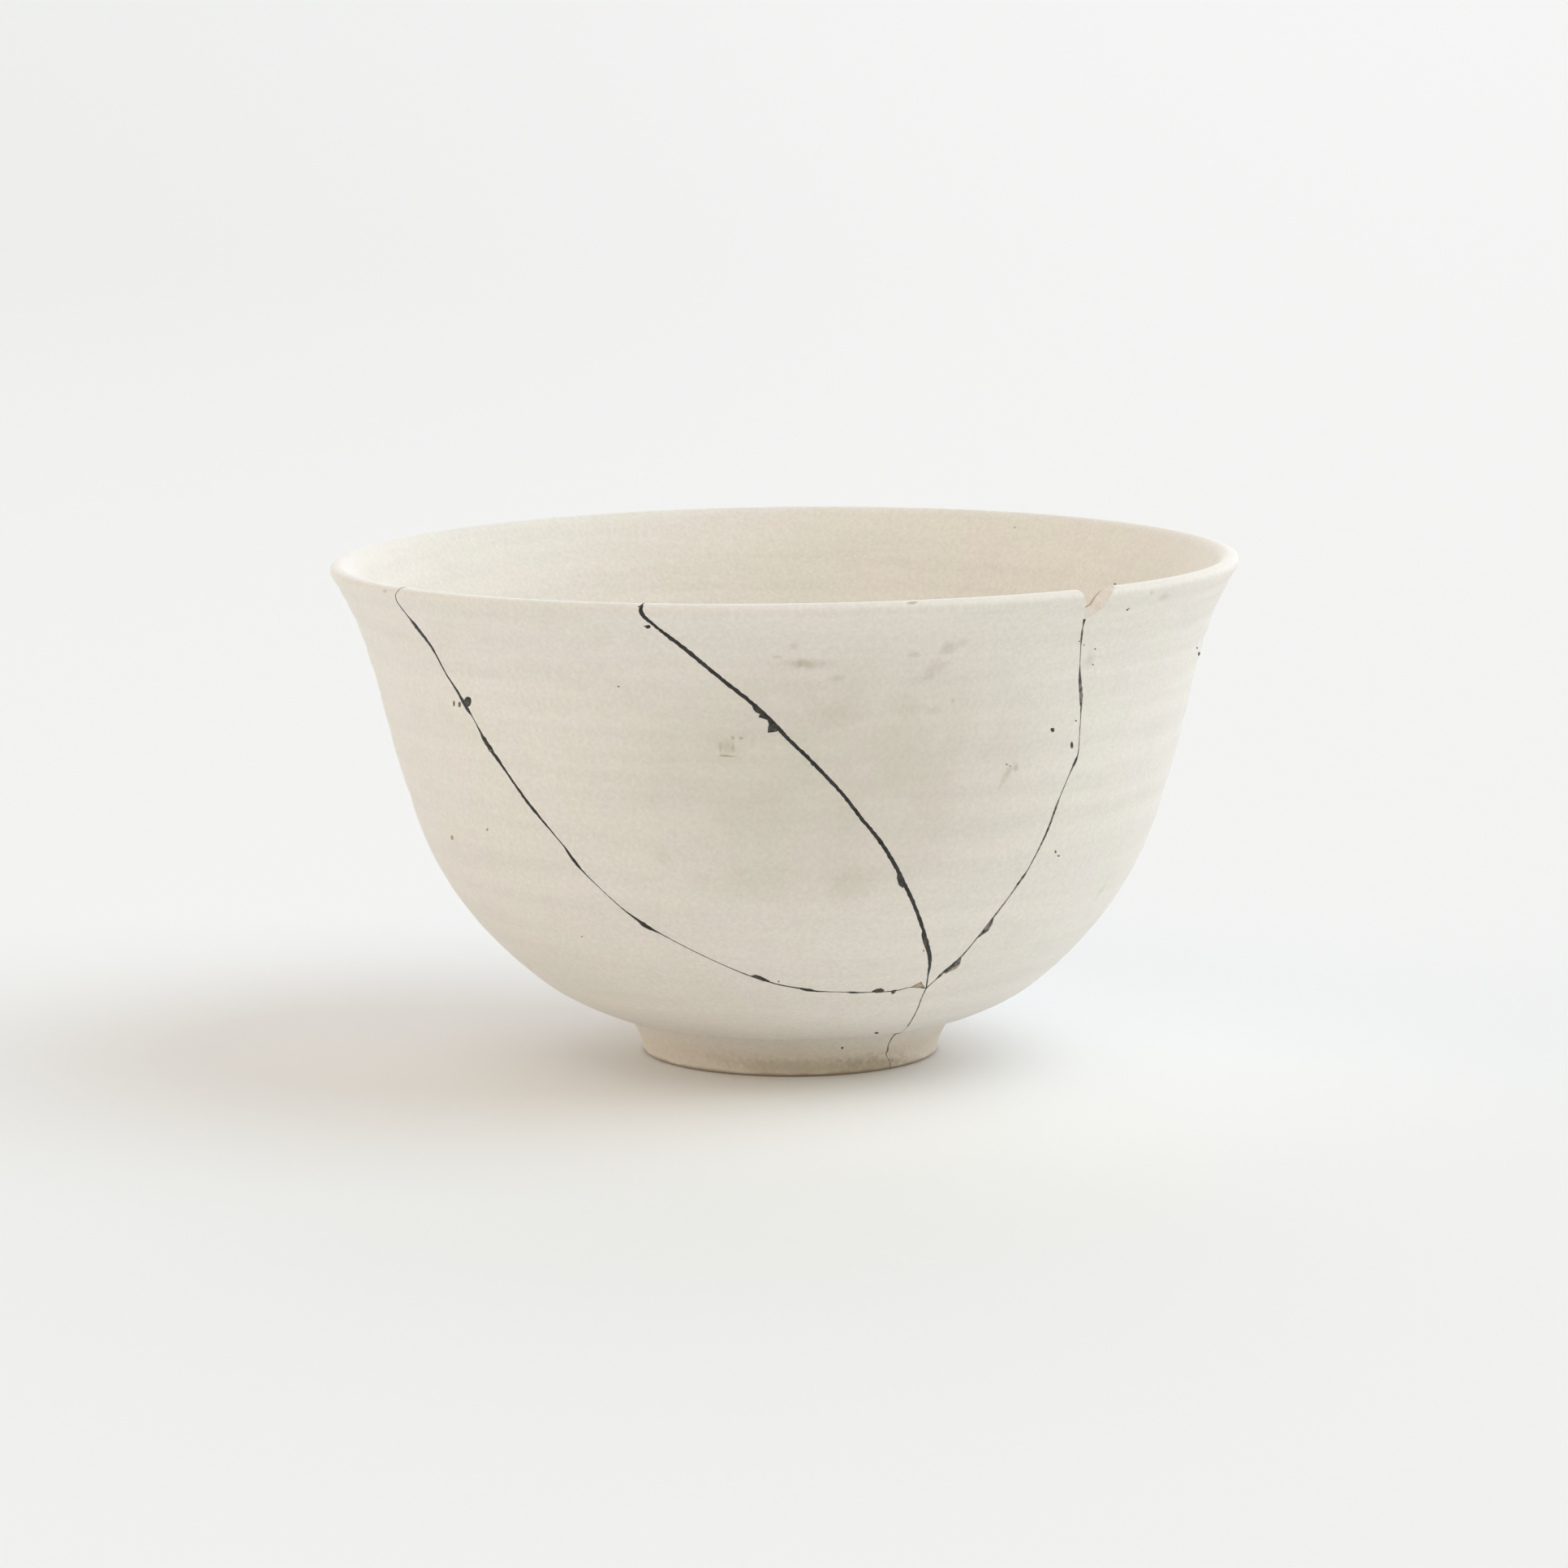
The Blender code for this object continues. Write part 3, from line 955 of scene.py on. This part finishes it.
def fade(tree, value, start, end, low=0.0, high=1.0):
    """Goes smoothly from low to high while the value goes from start to end."""
    node = tree.nodes.new("ShaderNodeMapRange")
    node.interpolation_type = "SMOOTHSTEP"
    for socket, source in zip(node.inputs, (value, start, end, low, high)):
        feed(tree, source, socket)
    return node.outputs[0]


def grain(tree, place, size, detail=2.0):
    """Noise with features of this size, mostly between 0.3 and 0.7."""
    node = tree.nodes.new("ShaderNodeTexNoise")
    feed(tree, place, node.inputs["Vector"])
    node.inputs["Scale"].default_value = 1 / size
    node.inputs["Detail"].default_value = detail
    return node.outputs[0]


def blend(tree, factor, first, second, kind="MIX"):
    node = tree.nodes.new("ShaderNodeMix")
    node.data_type = "RGBA"
    node.blend_type = kind
    feed(tree, factor, node.inputs[0])
    feed(tree, first, node.inputs[6])
    feed(tree, second, node.inputs[7])
    return node.outputs[2]


def shade(tree, colour, tone):
    """The colour times a number near 1."""
    grey = tree.nodes.new("ShaderNodeCombineXYZ")
    for socket in grey.inputs:
        feed(tree, tone, socket)
    return blend(tree, 1.0, colour, grey.outputs[0], "MULTIPLY")


def bump(tree, shader, height, depth):
    node = tree.nodes.new("ShaderNodeBump")
    node.inputs["Distance"].default_value = depth
    feed(tree, height, node.inputs["Height"])
    feed(tree, node.outputs[0], shader.inputs["Normal"])


def patch(tree, place, rough, spot, normal, half_width, half_height, turn, depth):
    """1 inside an ellipsoid that lies on the surface at a spot, fading to 0 at an edge that a noise roughens."""
    along = Vector((0, 0, 1)).cross(normal).normalized()
    upward = normal.cross(along)
    frame_axes = Matrix((along, upward, normal)).transposed()
    mapping = tree.nodes.new("ShaderNodeMapping")
    mapping.vector_type = "TEXTURE"
    feed(tree, place, mapping.inputs["Vector"])
    mapping.inputs["Location"].default_value = spot
    mapping.inputs["Rotation"].default_value = (frame_axes @ Matrix.Rotation(radians(turn), 3, "Z")).to_euler()
    mapping.inputs["Scale"].default_value = (half_width, half_height, depth)
    distance = vector_math(tree, "LENGTH", mapping.outputs[0])
    return fade(tree, compute(tree, "ADD", distance, rough), 2.1, 1.0)


def mark_size(pixels):
    """The real size of a length in pixels at the bowl's front."""
    return pixels * abs(CAMERA_PLACE.y + RIM_RADIUS) / FOCAL_PIXELS


def porcelain(bowl_tree):
    """Bare, matt, warm white porcelain with grain, streaks from throwing, clouds, smudges, pores and soil, and
    painted shade over the front and along the foot's bottom.
    """
    material, tree, shader, place = blank_material("bisque_porcelain", PORCELAIN_ROUGHNESS)
    shader.inputs["Sheen Weight"].default_value = PORCELAIN_SHEEN
    parts = tree.nodes.new("ShaderNodeSeparateXYZ")
    feed(tree, place, parts.inputs[0])
    height = parts.outputs["Z"]
    level = compute(tree, "MULTIPLY", parts.outputs["X"], -RIM_TILT)
    level = compute(tree, "ADD", height, level)
    hue = fade(tree, grain(tree, place, HUE_SIZE, 3.0), 0.42, 0.58)
    colour = blend(tree, hue, PINKISH_WHITE, GREENISH_WHITE)

    fine = grain(tree, place, GRAIN_SIZE, 3.0)
    flat = vector_math(tree, "MULTIPLY", place, (1, 1, STREAK_FLATNESS))
    streaks = grain(tree, flat, STREAK_SIZE, 4.0)
    turned = tree.nodes.new("ShaderNodeCombineXYZ")
    feed(tree, level, turned.inputs["Z"])
    bands = grain(tree, vector_math(tree, "ADD", turned.outputs[0], (0.5, 0.2, 0)), BAND_SIZE, 2.0)
    tone = compute(tree, "MULTIPLY", compute(tree, "SUBTRACT", fine, 0.5), GRAIN_TONE * 2)
    tone = compute(tree, "ADD", tone, fade(tree, streaks, 0.36, 0.64, 1 - STREAK_TONE, 1.0))
    tone = compute(tree, "ADD", tone, fade(tree, bands, 0.35, 0.65, -0.009, 0.009))
    colour = shade(tree, colour, tone)

    clouds = fade(tree, grain(tree, place, CLOUD_SIZE, 4.0), 0.50, 0.72, 0.0, 0.10)
    colour = blend(tree, clouds, colour, CLOUD_GREY)
    # Painted shade over the middle of the front, brownish, where less light comes from the camera's side
    x, y, half_width, half_height, strength = FRONT_PAINTED_SHADE
    spot, normal = seen_at(bowl_tree, x, y)
    coarse = grain(tree, place, 1.5 * CLOUD_SIZE, 4.0)
    rough = compute(tree, "MULTIPLY", grain(tree, place, SMUDGE_AND_SHADE_GRAIN, 4.0), 1.6)
    front = patch(tree, place, 0.8, spot, normal, mark_size(half_width), mark_size(half_height), 0, 0.030)
    uneven = fade(tree, coarse, 0.38, 0.62, 0.85 * strength, 1.15 * strength)
    colour = blend(tree, compute(tree, "MULTIPLY", front, uneven), colour, SMUDGE_AND_SHADE_BROWN)
    # Smudges, and the painted shade along the foot's bottom
    for x, y, half_width, half_height, turn, strength in SMUDGES_AND_SHADE:
        spot, normal = seen_at(bowl_tree, x, y)
        sizes = (mark_size(half_width), mark_size(half_height))
        depth = max(SMUDGE_AND_SHADE_DEPTH, 0.35 * sizes[0])
        mask = patch(tree, place, rough, spot, normal, *sizes, turn, depth)
        colour = blend(tree, compute(tree, "MULTIPLY", mask, strength), colour, SMUDGE_AND_SHADE_BROWN)

    cells = tree.nodes.new("ShaderNodeTexVoronoi")
    feed(tree, place, cells.inputs["Vector"])
    cells.inputs["Scale"].default_value = 1 / PORE_SPACING
    chance = tree.nodes.new("ShaderNodeSeparateXYZ")
    feed(tree, cells.outputs["Color"], chance.inputs[0])
    reach = fade(tree, chance.outputs[0], 0.86, 1.0, 0.0, PORE_RADIUS / PORE_SPACING)
    pore = compute(tree, "LESS_THAN", cells.outputs["Distance"], reach)
    colour = blend(tree, compute(tree, "MULTIPLY", pore, chance.outputs[1]), colour, PORE_BROWN)

    # Darker and warmer on the foot
    foot = fade(tree, height, 1.1 * FOOT_HEIGHT, 0.5 * FOOT_HEIGHT)
    colour = blend(tree, foot, colour, blend(tree, 1.0, colour, FOOT_TINT, "MULTIPLY"))
    # Brown soil and painted contact shade along the foot's bottom edge, rising unevenly
    wavy = compute(tree, "MULTIPLY", grain(tree, place, 0.004, 3.0), 2 * FOOT_SOIL_AND_SHADE_HEIGHT)
    soil_and_shade = fade(tree, height, 0.2 * FOOT_SOIL_AND_SHADE_HEIGHT, wavy, FOOT_SOIL_AND_SHADE_STRENGTH, 0.0)
    colour = blend(tree, soil_and_shade, colour, FOOT_SOIL_AND_SHADE)
    feed(tree, colour, shader.inputs["Base Color"])
    feed(tree, fade(tree, fine, 0.3, 0.7, 0.9 * PORCELAIN_ROUGHNESS, 1.15 * PORCELAIN_ROUGHNESS), shader.inputs["Roughness"])
    relief = compute(tree, "ADD", fine, compute(tree, "MULTIPLY", streaks, 1.5))
    relief = compute(tree, "SUBTRACT", relief, pore)
    bump(tree, shader, relief, GRAIN_DEPTH)
    return material


def fracture():
    """A fresh, faintly pink broken face."""
    material, tree, shader, place = blank_material("fractured_porcelain", 0.8)
    hue = fade(tree, grain(tree, place, 0.0016, 4.0), 0.35, 0.65)
    colour = blend(tree, hue, FRACTURE_PINK, FRACTURE_WHITE)
    fine = grain(tree, place, 0.0004, 4.0)
    colour = shade(tree, colour, fade(tree, fine, 0.3, 0.7, 0.93, 1.04))
    parts = tree.nodes.new("ShaderNodeSeparateXYZ")
    feed(tree, place, parts.inputs[0])
    level = vector_math(tree, "LENGTH", vector_math(tree, "MULTIPLY", place, (1, 1, 0)))
    lean = compute(tree, "MULTIPLY", compute(tree, "SUBTRACT", LIP_HEIGHT, parts.outputs["Z"]), LIP_LEAN)
    from_inside = compute(tree, "SUBTRACT", compute(tree, "ADD", level, lean), LIP_END - LEVEL_WALL)
    edge = fade(tree, from_inside, 1.6 * EDGE_DIRT, 0.8 * EDGE_DIRT)
    colour = blend(tree, compute(tree, "MULTIPLY", edge, 0.8), colour, SMUDGE_AND_SHADE_BROWN)
    feed(tree, colour, shader.inputs["Base Color"])
    bump(tree, shader, fine, 0.00008)
    return material


def mottled(name, dark, light, roughness, size):
    """A rough material whose colour goes between two in patches of this size."""
    material, tree, shader, place = blank_material(name, roughness)
    patches = fade(tree, grain(tree, place, size, 4.0), 0.38, 0.66)
    feed(tree, blend(tree, patches, (*dark, 1), (*light, 1)), shader.inputs["Base Color"])
    fine = grain(tree, place, 0.35 * size, 3.0)
    feed(tree, fade(tree, fine, 0.3, 0.7, 0.75 * roughness, 1.25 * roughness), shader.inputs["Roughness"])
    bump(tree, shader, fine, 0.1 * size)
    return material


def pale_floor():
    """White, with painted shade that makes it a little greyer far behind on the left, where the light falls off.
    """
    material, tree, shader, place = blank_material("pale_floor", FLOOR_ROUGHNESS)
    parts = tree.nodes.new("ShaderNodeSeparateXYZ")
    feed(tree, place, parts.inputs[0])
    # Painted shade: greyer far behind and towards the left, where the light falls off
    behind = fade(tree, parts.outputs["Y"], 0.1, 2.5)
    sideways = compute(tree, "DIVIDE", parts.outputs["X"], compute(tree, "ADD", compute(tree, "ABSOLUTE", parts.outputs["Y"]), 1.0))
    leftward = fade(tree, sideways, 0.12, -0.16)
    feed(tree, blend(tree, compute(tree, "MULTIPLY", behind, leftward), FLOOR_NEAR, FLOOR_FAR_PAINTED_SHADE), shader.inputs["Base Color"])
    return material


def white_room():
    """Soft light from all round, strongest from behind and from the left."""
    world = bpy.data.worlds.new("white_room")
    world.use_nodes = True
    tree = world.node_tree
    way = tree.nodes.new("ShaderNodeTexCoord").outputs["Generated"]
    total = (0, 0, 0)
    for azimuth, elevation, strength, tint in ROOM_LIGHTS:
        aim = around(cos(radians(elevation)), azimuth, sin(radians(elevation)))
        facing = compute(tree, "MAXIMUM", vector_math(tree, "DOT_PRODUCT", way, aim), 0.0)
        lobe = tree.nodes.new("ShaderNodeVectorMath")
        lobe.operation = "SCALE"
        feed(tree, strength * tint, lobe.inputs[0])
        feed(tree, compute(tree, "POWER", facing, ROOM_LIGHT_POWER), lobe.inputs["Scale"])
        total = vector_math(tree, "ADD", total, lobe.outputs[0])
    feed(tree, total, tree.nodes["Background"].inputs["Color"])
    bpy.context.scene.world = world


def studio():
    """A pale floor without an edge in view, soft light, and the camera at the photograph's angle."""
    bpy.ops.mesh.primitive_plane_add(size=80)
    floor = bpy.context.object
    floor.name = "floor"
    floor.data.materials.append(pale_floor())
    white_room()
    key = bpy.data.lights.new("key", "SUN")
    key.angle = radians(KEY_ANGLE)
    key.energy = KEY_STRENGTH
    key.color = KEY_COLOUR
    lamp = bpy.data.objects.new("key", key)
    aim = around(cos(radians(KEY_ELEVATION)), KEY_AZIMUTH, sin(radians(KEY_ELEVATION)))
    lamp.location = aim
    lamp.rotation_euler = aim.to_track_quat("Z", "Y").to_euler()
    bpy.context.scene.collection.objects.link(lamp)
    lens = bpy.data.cameras.new("camera")
    lens.sensor_width = SENSOR_WIDTH
    lens.lens = SENSOR_WIDTH * FOCAL_PIXELS / PHOTO_SIDE
    lens.clip_end = CLIP_END
    camera = bpy.data.objects.new("camera", lens)
    camera.location = CAMERA_PLACE
    camera.rotation_euler = (radians(90 - CAMERA_PITCH), 0, 0)
    bpy.context.scene.collection.objects.link(camera)
    bpy.context.scene.camera = camera
    bpy.context.scene.view_settings.view_transform = "Standard"


def main():
    noise.seed_set(NOISE_SEED)
    pieces = new_collection("mended_bowl")
    cutters = new_collection("cutters")
    broken = fracture()
    filler = mottled("dark_filler", (0.008, 0.007, 0.008), (0.030, 0.028, 0.026), 0.5, 0.0011)
    grey_filler = mottled("grey_filler", (0.026, 0.024, 0.022), (0.23, 0.21, 0.19), 0.6, 0.0008)
    charcoal = mottled("charcoal_filler", (0.025, 0.022, 0.020), (0.085, 0.078, 0.070), 0.6, 0.0007)
    tan = mottled("tan_filler", (0.34, 0.25, 0.15), (0.50, 0.41, 0.28), 0.7, 0.0007)
    brown = mottled("brown_marks", (0.16, 0.11, 0.075), (0.34, 0.26, 0.18), 0.7, 0.0004)
    grey = mottled("crack_dirt", (0.10, 0.09, 0.075), (0.30, 0.27, 0.22), 0.7, 0.0006)
    orange = mottled("orange_flecks", (0.50, 0.30, 0.16), (0.62, 0.42, 0.26), 0.7, 0.0004)
    pale = mottled("pale_flecks", (0.86, 0.86, 0.85), (0.93, 0.93, 0.92), 0.5, 0.0004)

    bowl = thrown_bowl(pieces)
    tree = BVHTree.FromObject(bowl, bpy.context.evaluated_depsgraph_get())
    bowl.data.materials.append(porcelain(tree))

    for name, route in (("left", LEFT_BREAK), ("middle", MIDDLE_BREAK), ("right", RIGHT_BREAK)):
        outside = outside_sections(tree, route)
        line = [section[1] for section in outside]
        inside = [through_wall(tree, place) for place in line]
        hidden = inside[::-1]
        if name != "right":
            hidden += over_the_lip(line[0])
        hidden = evenly(hidden, BEAD_STEP)
        back = plain_sections(tree, hidden, INNER_WIDTH)
        colour = grey_filler if name == "right" else filler
        piece = bead_mesh(f"{name}_break_filler", [outside, back], colour, pieces)
        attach(piece, "root")
        if name == "right":
            line.insert(0, seen_at(tree, *NOTCH_MIDDLE)[0])
        cut(bowl, blade(f"{name}_break", line, broken, cutters))
    crack = bead_mesh("foot_crack", [outside_sections(tree, FOOT_CRACK)], grey, pieces)
    chips = spot_mesh("filler_chips", tree, [roughened(chip) for chip in FILLER_CHIPS], charcoal, pieces)
    greys = spot_mesh("grey_chips", tree, [roughened(chip) for chip in GREY_CHIPS], grey_filler, pieces)
    tans = spot_mesh("tan_chips", tree, [roughened(chip) for chip in TAN_CHIPS], tan, pieces)
    spots = spot_mesh("filler_spots", tree, [ellipse(*spot) for spot in FILLER_SPOTS], charcoal, pieces)
    browns = spot_mesh("brown_spots", tree, [ellipse(*spot) for spot in BROWN_SPOTS], brown, pieces)
    oranges = spot_mesh("orange_flecks", tree, [ellipse(*spot) for spot in ORANGE_FLECKS], orange, pieces)
    pales = spot_mesh("pale_flecks", tree, [ellipse(*spot) for spot in PALE_FLECKS], pale, pieces)
    for piece in (crack, chips, greys, tans, spots, browns, oranges, pales):
        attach(piece, "root")
    cut(bowl, notch_cutter(tree, broken, cutters))
    apply_modifiers(bowl)
    parts = loose_parts(bowl)
    if len(parts) != 3:
        raise RuntimeError(f"the breaks and the notch left {len(parts)} sherds, not 3")
    sherds = sorted(parts[1:], key=middle_x)
    for part, node in zip((parts[0], *sherds), ("bowl_body", "front_left_sherd", "front_right_sherd")):
        part.name = f"{node}_surface"
        part.data.shade_smooth()
        part.data.set_sharp_from_angle(angle=radians(SHARP_ANGLE))
        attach(part, "root")
        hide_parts(node)
        check_size(part, node)
    cutters.hide_render = True
    for cutter in list(cutters.objects):
        bpy.data.objects.remove(cutter)
    studio()


main()
